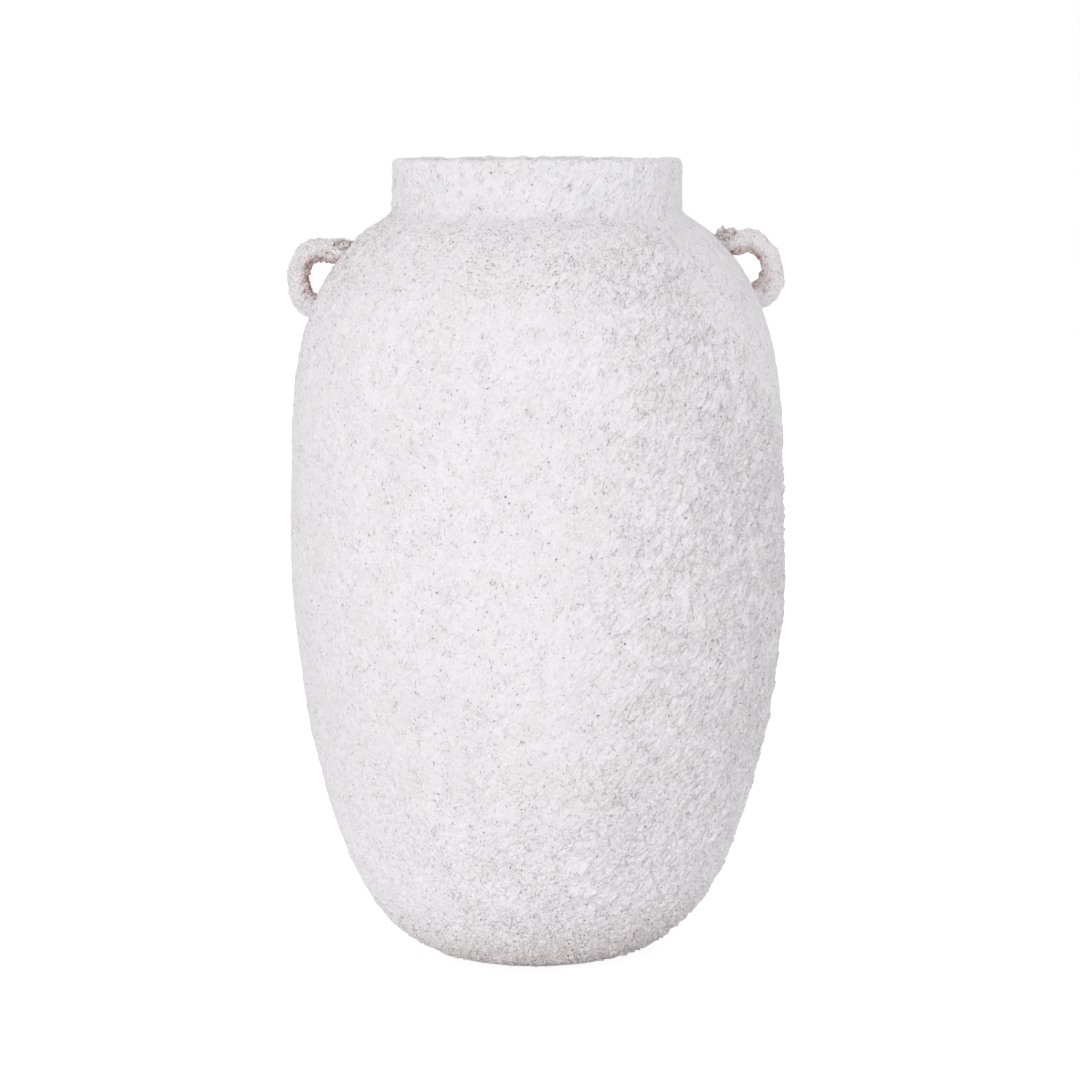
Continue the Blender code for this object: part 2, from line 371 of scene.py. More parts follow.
def add_object(name, data):
    thing = bpy.data.objects.new(name, data)
    bpy.context.scene.collection.objects.link(thing)
    return thing


def loft(name, sheets, closed, normals=None):
    """Object made of sheets stitched one after another, and the last to the first if closed."""
    firsts = np.cumsum([0] + [sheet.rows * sheet.columns for sheet in sheets])
    weights = [sheet.rows * math.sqrt(sheet.columns) + SEAM_ROOM for sheet in sheets]
    levels = np.cumsum([0] + weights) / sum(weights)
    parts = []
    for index, (sheet, low, high) in enumerate(zip(sheets, levels, levels[1:])):
        edge = low + SHEET_SHARE * (high - low)
        if sheet.rows > 1:
            parts.append(sheet.quads(firsts[index], low, edge))
        if index + 1 < len(sheets) or closed:
            after = (index + 1) % len(sheets)
            last_row = (firsts[index] + (sheet.rows - 1) * sheet.columns, sheet.columns)
            parts.append(stitch(last_row, (firsts[after], sheets[after].columns), edge, high))
    faces, places = zip(*parts)
    sizes = np.concatenate([np.full(len(group), group.shape[1]) for group in faces])
    mesh = bpy.data.meshes.new(name)
    mesh.vertices.add(int(firsts[-1]))
    fill(mesh.vertices, "co", [sheet.points for sheet in sheets])
    mesh.loops.add(int(sizes.sum()))
    fill(mesh.loops, "vertex_index", faces, np.int32)
    mesh.polygons.add(len(sizes))
    fill(mesh.polygons, "loop_start", [np.cumsum(sizes) - sizes], np.int32)
    fill(mesh.uv_layers.new(name="OFBake").uv, "vector", places)
    for mark in Sheet.MARKS:
        marked = mesh.attributes.new(mark, "FLOAT", "POINT").data
        fill(marked, "value", [sheet.marks[mark] for sheet in sheets])
    mesh.update(calc_edges=True)
    mesh.shade_smooth()
    if normals is not None:
        normals = np.concatenate([each.reshape(-1, 3) for each in normals])
        mesh.normals_split_custom_set_from_vertices(normals.astype(np.float32))
    return add_object(name, mesh)


def round_circle(count):
    """Angles of this many points round a circle."""
    return np.arange(count) / count * 2 * math.pi


def turned(line, columns):
    """Points of a (radius, height) line turned about the axis, rows by columns."""
    angle = round_circle(columns)
    radius, height = line[:, :1], line[:, 1:]
    return np.stack([radius * np.cos(angle), radius * np.sin(angle), height + 0 * angle], axis=2)


# Relief of the slip

def broken(lattice, spots, size):
    """Noise in three sizes, about -1 to 1, whose broadest lumps are this many millimetres."""
    broad = lattice.smooth(spots / size)
    middle = lattice.smooth(spots / (0.46 * size) + 31.3)
    narrow = lattice.smooth(spots / (0.22 * size) + 67.9)
    return (broad + 0.5 * middle + 0.28 * narrow) / 1.3


def drawn_out(spots):
    """Places whose noise is longer along the direction in which the slip was drawn."""
    flat = math.sin(DRAWN_TILT)
    direction = np.array([flat * math.cos(DRAWN_TURN), flat * math.sin(DRAWN_TURN), math.cos(DRAWN_TILT)])
    return spots - (1 - 1 / DRAWN_STRETCH) * (spots @ direction)[:, None] * direction


def leaning(lattice, spots, size, reach):
    """Noise whose lumps lean down to the right by up to this reach, so that this side is the steep one."""
    across = np.array([0.66, 0.35, -0.66])
    first = lattice.smooth(spots / size)
    return lattice.smooth((spots - reach * first[:, None] * across) / size)


def slip_relief(points, roughness):
    """Height of the slip over the mean surface, in metres, and what its material reads, at every point.

    The slip lies in pebbles with thin creases between them, under two layers of flakes with broken edges, and
    is crumbly between the flakes. lower and upper are 0 along the edge of a layer, and above 0 on it.
    """
    spots = points / MM
    warp = np.stack([WARP.smooth(spots / WARP_SIZE + shift) for shift in (0, 31.7, 67.1)], axis=1)
    warped = drawn_out(spots) + WARP_REACH * warp

    ground = DIP_HEIGHT * UNDULATION.smooth(spots / DIP_SIZE)
    ground = ground + DENT_HEIGHT * HOLLOWS.smooth(spots / DENT_SIZE)
    ground += (0.42 + 0.10 * roughness) * leaning(HOLLOWS, warped + 11, LUMP_SIZE, LUMP_LEAN)
    ground += (0.24 + 0.10 * roughness) * leaning(WARP, warped + 53, KNOB_SIZE, KNOB_LEAN)
    ground += 0.20 * roughness * UNDULATION.smooth(spots / 15 + 7)
    fine = HOLLOWS.smooth(spots / GRAIN_SIZE + 40)
    frayed = warped + fine[:, None] * np.array([0.45, -0.40, 0.45])
    nearest, second, pebble = UNDULATION.cells(frayed / PEBBLE_SIZE + 17)
    inwards = second - nearest
    between = 1 - ramp(inwards, 0.0, 0.20)
    ground += (0.32 + 0.05 * roughness) * (ramp(inwards, 0.0, 0.55) * (0.7 + 0.6 * pebble) - 0.6)

    lower = broken(FLAKES, warped, LOWER_FLAKE_SIZE) + 0.10
    upper = broken(STUDS, warped, UPPER_FLAKE_SIZE) - 0.22
    on_lower, on_upper = ramp(lower, -0.14, 0.14), ramp(upper, -0.12, 0.12)
    patches = PATCHES.smooth(spots / PATCH_SIZE) + 0.5 * PATCHES.smooth(spots / 8 + 50)
    crumbly = 0.15 + 0.85 * ramp(patches + 1.1 * roughness, -0.45, 0.95)
    crumbly = 1 - np.maximum(on_lower, on_upper) * (1 - crumbly)
    near, far, crumb = CRUMBS.cells(warped / CRUMB_SIZE)
    rim = 1 - ramp(far - near, 0.0, 0.45)
    coarse = 0.55 * ramp(roughness, 0.9, 1.7)
    crumbs = (0.08 + 0.30 * crumbly + coarse) * ((crumb - 0.3) * (1 - rim) - 0.45 * rim)
    apart, _, chance = STUDS.cells(warped / STUD_SIZE + 70)
    studs = ramp(chance + 0.12 * roughness, 0.80, 1.0) * ramp(-apart, -0.36, -0.10)

    crack = 1 - ramp(np.abs(UNDULATION.smooth(warped / CRACK_SIZE + 23)), 0.02, 0.13)
    crack *= ramp(PATCHES.smooth(warped / 6.5 + 91), -0.05, 0.25)
    fissure = 1 - ramp(np.abs(HOLLOWS.smooth(warped * (1, 1, 2.4) / FISSURE_SIZE + 61)), 0.03, 0.16)
    fissure *= ramp(spots[:, 2], 318, 346) * ramp(-spots[:, 2], -376, -366)
    crack = np.maximum(crack, 1.6 * fissure)
    crack = np.maximum(crack, between * ramp(PATCHES.smooth(spots / 4.5 + 13), -0.35, 0.15))
    grain = (0.06 + 0.14 * crumbly) * fine
    height = ground + FLAKE_RISE * on_lower + FLAKE_RISE * on_upper + crumbs
    height = height + STUD_HEIGHT * studs - CRACK_DEPTH * crack + grain
    edge = 1 - np.minimum(np.abs(lower + 0.10), np.abs(upper + 0.08)) / 0.10
    crease = np.clip(np.maximum.reduce([0.7 * edge, 0.9 * crack, (0.2 + 0.8 * crumbly) * rim]), 0, 1)
    return (height - MEAN_RISE) * MM, crease, crumbly, lower, upper


def relief_everywhere(points, roughness):
    """slip_relief at all the points, worked out some thousands at a time on every core."""
    count = max(1, len(points) // POINTS_AT_A_TIME)
    with ThreadPoolExecutor() as pool:
        found = pool.map(slip_relief, np.array_split(points, count), np.array_split(roughness, count))
        return [np.concatenate(values) for values in zip(*found)]


def near_handle(points, handle, reach):
    """1 where a point is at this handle's root, falling to 0 this far away."""
    height = NECK_SEAM - handle["drop"]
    root = np.array([handle["side"] * outer_radius(np.array(height)), 0, height])
    return ramp(-np.linalg.norm(points - root, axis=1), -reach, -0.3 * reach)


def rough_side(points):
    """1 on the vase's right side and low down, where the slip lies thicker and rougher, and 0 on the left."""
    right = ramp(points[:, 0], 0, 110 * MM)
    low = ramp(-points[:, 2], -150 * MM, -20 * MM) * (0.3 + 0.7 * ramp(points[:, 0], -60 * MM, 30 * MM))
    return np.clip(right + 0.6 * low, 0, 1)


def jar_roughness(points):
    """How rough the slip is: crumbly at the foot and over the shoulder, smoother by the right handle."""
    height = points[:, 2]
    foot = 0.4 * ramp(-height, -200 * MM, -60 * MM) + 1.1 * ramp(-height, -38 * MM, -6 * MM)
    shoulder = 0.55 * ramp(height, 318 * MM, 350 * MM) * ramp(-height, -374 * MM, -366 * MM)
    neck = -0.15 * ramp(height, 368 * MM, 376 * MM)
    by_left = near_handle(points, HANDLES["left"], 42 * MM)
    by_right = near_handle(points, HANDLES["right"], SMOOTHED)
    return foot + shoulder + neck + 0.3 * rough_side(points) + 0.4 * by_left - 0.7 * by_right


def speck_density(points):
    """How thickly fine grey specks lie: most round the left handle, at the foot and below the neck."""
    height = points[:, 2]
    by_left = near_handle(points, HANDLES["left"], 80 * MM)
    shoulder = ramp(height, 325 * MM, 360 * MM) * ramp(-height, -378 * MM, -368 * MM)
    by_right = near_handle(points, HANDLES["right"], SMOOTHED)
    foot = 0.6 * ramp(-height, -45 * MM, -15 * MM)
    return 0.25 + 0.85 * by_left + 0.35 * by_right + 0.5 * shoulder * (1 - rough_side(points)) + foot


class Line:
    """The turned jar's line, with the places along it where its pieces meet."""

    def __init__(self):
        self.points = jar_line()
        self.lengths = lengths_along(self.points)
        top = int(np.argmax(self.points[:, 1]))
        self.length = self.lengths[-1]
        self.turn_in = self.length - (NECK_HEIGHT - LIP_ROUNDING)
        self.base, self.belly, self.neck = (np.interp(height, self.points[:top, 1], self.lengths[:top])
                                            for height in (BASE_THICKNESS, BELLY_HEIGHT, NECK_SEAM))

    def at(self, stations):
        return read_line(self.points, self.lengths, stations)

    def along(self, stations):
        reach = 0.6 * MM
        along = self.at(stations + reach) - self.at(stations - reach)
        return along / np.linalg.norm(along, axis=1)[:, None]


def dress(line, stations, columns):
    """Sheet of slip over the jar's line, from the first to the last of these places along it."""
    middle = line.at(stations)
    along = line.along(stations)
    mean = turned(middle + np.stack([rises(middle[:, 1], SWELL), 0 * stations], axis=1), columns)
    mean[:, :, 0] += rises(middle[:, 1], SWAY)[:, None]
    normals = turned(np.stack([along[:, 1], -along[:, 0]], axis=1), columns)
    flat = mean.reshape(-1, 3)
    shape = mean.shape[:2]
    found = [values.reshape(shape) for values in relief_everywhere(flat, jar_roughness(flat))]
    height, crease, crumbly, lower, upper = found

    down_inside = np.clip((stations - line.turn_in) / (line.length - line.turn_in), 0, 1)
    neck = ramp(middle[:, 1], NECK_SEAM - 2 * MM, NECK_SEAM + 6 * MM)
    lip = ramp(middle[:, 1], HEIGHT - 6 * MM, HEIGHT - 1 * MM)
    foot = ramp(middle[:, 1], 0, 3 * MM)
    strength = foot * (1 + 0.15 * neck) * (1 - 0.55 * ramp(down_inside, 0, 0.3))
    strength *= 1 - ramp(down_inside, 0.8, 1)
    smoothed = near_handle(flat, HANDLES["right"], SMOOTHED)
    rough = (rough_side(flat) * (1 - 0.9 * smoothed)).reshape(shape) * (1 - 0.5 * neck[:, None])
    kept = SMOOTH_STRENGTH + ROUGH_STRENGTH * rough - SMOOTHING * smoothed.reshape(shape)
    strength = strength[:, None] * kept
    points = mean + normals * (height * strength)[:, :, None]
    rim = turned(line.at(np.array([line.turn_in])), columns).reshape(-1, 3)
    uneven = 0.60 * UNDULATION.smooth(rim / (22 * MM)) + 0.65 * HOLLOWS.smooth(rim / (5 * MM))
    points[:, :, 2] += lip[:, None] * uneven * MM
    points[:, :, 2] = np.maximum(points[:, :, 2], 0)

    fade = (stations > line.turn_in) * ramp(down_inside, 0.3, 1)
    ragged = CLAY.smooth(flat / (9 * MM)).reshape(shape)
    bare = np.clip(0.9 * fade[:, None] + 0.35 * ragged * (fade[:, None] > 0), 0, 1)
    worn = ramp(-middle[:, 1], -5 * MM, 0)[:, None] * ramp(ragged, -0.2, 0.7)
    return Sheet(points, strips=WALL_STRIPS, crease=crease * np.minimum(strength, 0.9), crumbly=crumbly,
                 bare=np.maximum(bare, 0.4 * worn), lower=lower, upper=upper, rough=rough,
                 specks=speck_density(flat).reshape(shape))


def throwing_marks(line, columns, depth):
    """Bare inside surface with the shallow rings that a potter's fingers leave."""
    points = turned(line, columns)
    flat = points.reshape(-1, 3)
    turn = np.arctan2(flat[:, 1], flat[:, 0]) / (2 * math.pi)
    along = lengths_along(line)[:, None] + np.zeros(columns)
    rings = np.sin(2 * math.pi * (along.ravel() / FINGER_PITCH + turn))
    wobble = UNDULATION.smooth(flat / (30 * MM)) + 0.4 * HOLLOWS.smooth(flat / (7 * MM))
    return points, ((FINGER_DEPTH * rings + 0.4 * wobble) * MM * depth).reshape(points.shape[:2])


def wall_inside(low, high):
    """Inside of the wall from the higher height down to the lower."""
    heights = np.linspace(high, low, max(3, math.ceil((high - low) / THROWING_STEP)))
    line = np.stack([bore_radius(heights), heights], axis=1)
    points, depth = throwing_marks(line, INSIDE_COLUMNS, 1)
    below_neck = ramp(-heights, -NECK_SEAM, -NECK_SEAM + 6 * MM)
    depth *= (below_neck * ramp(heights, BASE_THICKNESS, 20 * MM))[:, None]
    across = np.linalg.norm(points[:, :, :2], axis=2)[:, :, None]
    points[:, :, :2] *= (across - depth[:, :, None]) / across
    return Sheet(points, crease=0.1, crumbly=0.2, bare=1)


def disc(radii, height, columns, marks_depth):
    """Flat rings of points at these radii, with shallow rings and hollows in them, upwards only."""
    line = np.stack([radii, np.full(len(radii), height)], axis=1)
    points, depth = throwing_marks(line, columns, marks_depth)
    points[:, :, 2] += np.maximum(depth, 0)
    return Sheet(points, crease=0.15, crumbly=0.3, bare=1)


def discs_between(edges, counts, height, marks_depth):
    """Discs from each of these radii to the next, each of rings of so many points and faces about square."""
    discs = []
    for count, first, last in zip(counts, edges, edges[1:]):
        rings = max(3, round(abs(last - first) / ((last + first) * math.pi / count)))
        discs.append(disc(np.linspace(first, last, rings, endpoint=False), height, count, marks_depth))
    return discs


def base_sheets(outside):
    """Underside from the middle outwards, the outside, and the floor of the jar back to the middle."""
    pole = Sheet([[[0, 0, 0]]], bare=1, facing=(0, 0, -1))
    floor_pole = Sheet([[[0, 0, BASE_THICKNESS]]], bare=1)
    counts = [COLUMNS // 120, COLUMNS // 20, INSIDE_COLUMNS, COLUMNS]
    rim = np.linalg.norm(outside.points[0, :, :2], axis=1).min() - RIM_MARGIN
    seam = np.linalg.norm(outside.points[-1, :, :2], axis=1).min() - SEAM_MARGIN
    under = discs_between([edge * MM for edge in UNDERSIDE_EDGES] + [rim], counts, 0, 0.25)
    over = [disc(np.linspace(seam, FLOOR_START, 6), BASE_THICKNESS, COLUMNS, 0)]
    over += discs_between([edge * MM for edge in FLOOR_EDGES], counts[2::-1], BASE_THICKNESS, 0.8)
    return [pole] + under + [outside] + over + [floor_pole]


# Handles and the wads of clay at their roots

def loop_points(handle, turns):
    """Centreline of a handle, in its plane, at these turns up (above 0) or down from its outermost point."""
    centre_height = NECK_SEAM - handle["drop"]
    centre = outer_radius(np.array(centre_height)) + HANDLE_STANDOFF
    bend = np.clip(turns, -HANDLE_ARM_TURN, HANDLE_ARM_TURN)
    wide, tall = handle["wide"], handle["tall"]
    across = centre + wide * np.cos(bend) - wide * np.sin(bend) * (turns - bend)
    up = centre_height + tall * np.sin(bend) + tall * np.cos(bend) * (turns - bend)
    return np.stack([across, up], axis=1)


def depth_in_wall(points):
    across, up = points.T
    return (outer_radius(up) - across) / np.hypot(1, lean(up))


def turn_at_depth(handle, way, depth):
    """How far the centreline turns, upwards (1) or downwards (-1), before it lies this deep in the wall."""
    turns = way * np.linspace(0, 2 * math.pi, LOOP_SAMPLES)
    return turns[np.argmax(depth_in_wall(loop_points(handle, turns)) > depth)]


def make_handle(label, handle):
    """Rolled handle with round ends sunk in the wall, from its lower end over the loop to its upper end."""
    lowest, highest = (turn_at_depth(handle, way, HANDLE_SINK) for way in (-1, 1))
    turns = np.linspace(lowest, highest, LOOP_SAMPLES)
    line = loop_points(handle, turns)
    lengths = lengths_along(line)
    radius = handle["thickness"] / 2
    rows = math.ceil((lengths[-1] + 2 * radius) / HANDLE_STEP)
    stations = np.linspace(-radius, lengths[-1] + radius, rows + 2)[1:-1]
    held = np.clip(stations, 0, lengths[-1])
    middle = read_line(line, lengths, held)
    reach = 0.5 * MM
    along = read_line(line, lengths, held + reach) - read_line(line, lengths, held - reach)
    along /= np.linalg.norm(along, axis=1)[:, None]
    beyond = stations - held
    swelling = np.interp(np.degrees(np.interp(held, lengths, turns)), *zip(*handle["swelling"])) * MM / 2
    flare = HANDLE_FLARE * ramp(depth_in_wall(middle), -6 * MM, 0)
    middle += along * beyond[:, None] + np.stack([along[:, 1], -along[:, 0]], axis=1) * swelling[:, None]
    round_end = (radius + swelling) * np.sqrt(np.maximum(1 - (beyond / radius) ** 2, 0))

    angle = round_circle(HANDLE_COLUMNS)
    side = handle["side"]
    out = np.stack([along[:, 1] * side, np.zeros(rows), -along[:, 0]], axis=1)
    across = np.array([0, side, 0])
    normals = out[:, None] * np.cos(angle)[None, :, None] + across * np.sin(angle)[None, :, None]
    centre = np.stack([middle[:, 0] * side, np.zeros(rows), middle[:, 1]], axis=1)
    widened = 1 + flare[:, None] * np.sin(angle) ** 2
    mean = centre[:, None] + normals * (round_end[:, None] * widened)[:, :, None]

    flat = mean.reshape(-1, 3)
    shape = mean.shape[:2]
    facing_eye = np.clip(-np.cos(angle), 0, 1)[None, :] + np.zeros(shape)
    found = slip_relief(flat, np.full(len(flat), 0.2))
    height, crease, crumbly, _, _ = (values.reshape(shape) for values in found)
    lumps = 0.55 * MM * HOLLOWS.smooth(flat / (8 * MM)).reshape(shape)
    near, _, crumb = (values.reshape(shape) for values in CRUMBS.cells(flat / (2.4 * MM)))
    rough_inside = ramp(facing_eye, 0.45, 0.95) * 0.8 * MM * (crumb - 0.5 * near)
    points = mean + normals * (0.85 * height + lumps + rough_inside)[:, :, None]
    patchy = (0.6 * CLAY.smooth(flat / (6 * MM)) + 0.7 * CLAY.smooth(flat / (2.2 * MM) + 40)).reshape(shape)
    inwards = np.clip(0.35 - np.cos(angle), 0, 1.25)[None, :] / 1.25
    bare = handle["bareness"] * ramp(inwards + 0.45 * patchy, 0.0, 1.05)
    bare *= 0.5 + 0.5 * ramp(crumb, 0.5, 0.7)
    crease = np.maximum(0.6 * crease, bare * (1 - crumb))
    crumbly = np.maximum(0.5 * crumbly, ramp(facing_eye, 0.3, 0.9))
    sheet = Sheet(points, strips=HANDLE_STRIPS, crease=crease, crumbly=crumbly, bare=bare,
                  rough=handle["coating"], specks=0.55)
    lower_tip = Sheet([[centre[0] - (centre[1] - centre[0])]])
    upper_tip = Sheet([[centre[-1] + (centre[-1] - centre[-2])]])
    return loft(label + "_handle_skin", [lower_tip, sheet, upper_tip], False)


def make_wad(name, handle, way, form):
    """Crumbly wad of clay pressed on one root of a handle."""
    *sizes, specks = form
    shift_along, shift_up, reach_across, reach_up, reach_along, lumpiness = (size * MM for size in sizes)
    place, = loop_points(handle, np.array([turn_at_depth(handle, way, 0)]))
    axes = np.array([[0, 1, 0], [0, 0, 1], [1, 0, 0]])
    polar = (np.arange(WAD_ROWS) + 0.5) / WAD_ROWS * math.pi
    ball = turned(np.stack([np.sin(polar), -np.cos(polar)], axis=1), WAD_COLUMNS)
    centre = np.array([place[0] + shift_along, 0, place[1] + shift_up])
    mean = centre + (ball * np.array([reach_across, reach_up, reach_along])) @ axes
    flat = mean.reshape(-1, 3)
    shape = mean.shape[:2]
    spots = flat / MM
    lumps = 1.2 * HOLLOWS.smooth(spots / 4) + 0.5 * UNDULATION.smooth(spots / 1.9)
    near, far, crumb = CRUMBS.cells(spots / 1.7 + 9)
    rim = 1 - ramp(far - near, 0, 0.35)
    crumbs = 0.9 * (crumb - 0.35) * (1 - rim) - 0.3 * rim
    height = ((lumps + crumbs) * lumpiness).reshape(shape)
    points = mean + (ball @ axes) * height[:, :, None]
    crease = np.maximum(rim, 0.8 - crumb).reshape(shape)
    bare = ramp(CLAY.smooth(spots / 2.2).reshape(shape) + 0.4 * crease, 0.35, 1.4)
    tips = [[[centre - axes[2] * reach_along]], [[centre + axes[2] * reach_along]]]
    if handle["side"] < 0:
        points = points[:, ::-1] * np.array([-1, 1, 1])
        crease, bare = crease[:, ::-1], bare[:, ::-1]
        tips = [np.array(tip) * np.array([-1, 1, 1]) for tip in tips]
    sheet = Sheet(points, crease=crease, crumbly=1, bare=bare, specks=specks)
    return loft(name, [Sheet(tips[0]), sheet, Sheet(tips[1])], False)


# Materials

class Nodes:
    """Short ways to add nodes to a material or a world."""

    def __init__(self, owner):
        owner.use_nodes = True
        self.tree = owner.node_tree

    def add(self, kind, inputs=(), **settings):
        node = self.tree.nodes.new(kind)
        for setting, value in settings.items():
            setattr(node, setting, value)
        for socket, value in dict(inputs).items():
            self.put(node.inputs[socket], value)
        return node

    def put(self, socket, value):
        if isinstance(value, bpy.types.NodeSocket):
            self.tree.links.new(value, socket)
        else:
            socket.default_value = value

    def math(self, operation, first, second=0.0, clamp=False):
        node = self.add("ShaderNodeMath", {0: first, 1: second}, operation=operation, use_clamp=clamp)
        return node.outputs[0]

    plus = partialmethod(math, "ADD")
    minus = partialmethod(math, "SUBTRACT")
    times = partialmethod(math, "MULTIPLY")

    def show(self, output, lighting, seen):
        """Use one shader for the light it brings, and another where it is seen, also in gloss and glass."""
        rays = self.add("ShaderNodeLightPath").outputs
        direct = self.math("MAXIMUM", rays["Is Camera Ray"], rays["Is Glossy Ray"])
        direct = self.math("MAXIMUM", direct, rays["Is Transmission Ray"])
        both = self.add("ShaderNodeMixShader", {0: direct, 1: lighting, 2: seen})
        self.put(self.tree.nodes[output].inputs["Surface"], both.outputs[0])


class Shading(Nodes):
    """A material's nodes, with the places that they read and the ways to combine them."""

    def __init__(self, name):
        self.material = bpy.data.materials.new(name)
        super().__init__(self.material)
        self.shader = self.tree.nodes["Principled BSDF"]
        self.place = self.add("ShaderNodeTexCoord").outputs["Object"]
        self.height = self.add("ShaderNodeSeparateXYZ", {0: self.place}).outputs["Z"]
        inputs = {"Vector": self.place, "Rotation": (0, DRAWN_TILT, DRAWN_TURN),
                  "Scale": (1, 1, DRAWN_STRETCH)}
        self.drawn = self.add("ShaderNodeMapping", inputs, vector_type="TEXTURE").outputs[0]

    def look(self, socket, value):
        self.put(self.shader.inputs[socket], value)

    def vector(self, operation, first, second):
        return self.add("ShaderNodeVectorMath", {0: first, 1: second}, operation=operation).outputs[0]

    def ramp(self, value, low, high, start=0.0, end=1.0):
        inputs = {"Value": value, "From Min": low, "From Max": high, "To Min": start, "To Max": end}
        return self.add("ShaderNodeMapRange", inputs, interpolation_type="SMOOTHSTEP").outputs["Result"]

    def mix(self, factor, first, second):
        """Mix of two colours, which are inputs 6 and 7 of the node, as the mixed colour is its output 2."""
        first, second = (colour if isinstance(colour, bpy.types.NodeSocket) else (*colour, 1)
                         for colour in (first, second))
        return self.add("ShaderNodeMix", {"Factor": factor, 6: first, 7: second}, data_type="RGBA").outputs[2]

    def noise(self, size, detail=2.0, distortion=0.0, place=None):
        """Noise around 0.5 whose lumps are about this size in metres, read at the place or another."""
        inputs = {"Vector": place or self.place, "Scale": 1 / size, "Detail": detail,
                  "Distortion": distortion}
        return self.add("ShaderNodeTexNoise", inputs).outputs["Fac"]

    def wobbled_place(self, size, reach):
        """Place in the object, moved about by up to half this reach, in lumps of this size."""
        noise = self.add("ShaderNodeTexNoise", {"Vector": self.place, "Scale": 1 / size, "Detail": 1.0})
        centred = self.vector("SUBTRACT", noise.outputs["Color"], (0.5, 0.5, 0.5))
        scaled = self.add("ShaderNodeVectorMath", {0: centred, "Scale": 2 * reach}, operation="SCALE")
        return self.vector("ADD", self.place, scaled.outputs[0])

    def cells(self, size, place):
        """Distance to the nearest of scattered spots about this far apart, and that spot's random colour."""
        node = self.add("ShaderNodeTexVoronoi", {"Vector": place, "Scale": 1 / size})
        chance = self.add("ShaderNodeSeparateColor", {"Color": node.outputs["Color"]}).outputs
        return node.outputs["Distance"], chance

    def lines(self, size, width, distortion):
        """1 on thin wandering lines, where noise of this size crosses its middle, and 0 off them."""
        away = self.math("ABSOLUTE", self.minus(self.noise(size, 2.0, distortion), 0.5))
        return self.ramp(away, 0.0, width, 1.0, 0.0)

    def mark(self, name):
        return self.add("ShaderNodeAttribute", attribute_name=name).outputs["Fac"]


# Colours of smooth and of rough slip
SLIP_TINTS = ((0.825, 0.805, 0.835), (0.84, 0.81, 0.82))
# The handles' slip is darker than the body's: painted shade
SHADED_HANDLE_TINTS = ((0.78, 0.755, 0.78), (0.79, 0.755, 0.76))
WAD_TINTS = ((0.79, 0.76, 0.76), (0.78, 0.74, 0.73))

# Colours of what lies on the slip, in it and under it, and of painted light and painted shade
# Paler slip painted at the foot and on the rough side: painted light, standing in for light from below
PAINTED_LIGHT_TINT = (0.93, 0.905, 0.925)
SMEAR_COLOUR = (0.79, 0.79, 0.83)
FOOT_COLOUR = (0.90, 0.815, 0.785)
# Painted shade in creases, cracks and the grain's dips, and dirt in the creases
CREASE_SHADE_AND_DIRT_COLOUR = (0.40, 0.36, 0.355)
SPECK_COLOUR = (0.31, 0.25, 0.235)
PIT_COLOUR = (0.17, 0.145, 0.135)
RUST_COLOUR = (0.42, 0.20, 0.15)
PINK_COLOUR = (0.60, 0.40, 0.38)
CLAY_COLOUR = (0.50, 0.29, 0.225)
CLAY_SHADE = (0.33, 0.185, 0.145)
CLAY_GRIT = (0.72, 0.60, 0.55)
CLAY_PIT = (0.12, 0.085, 0.075)


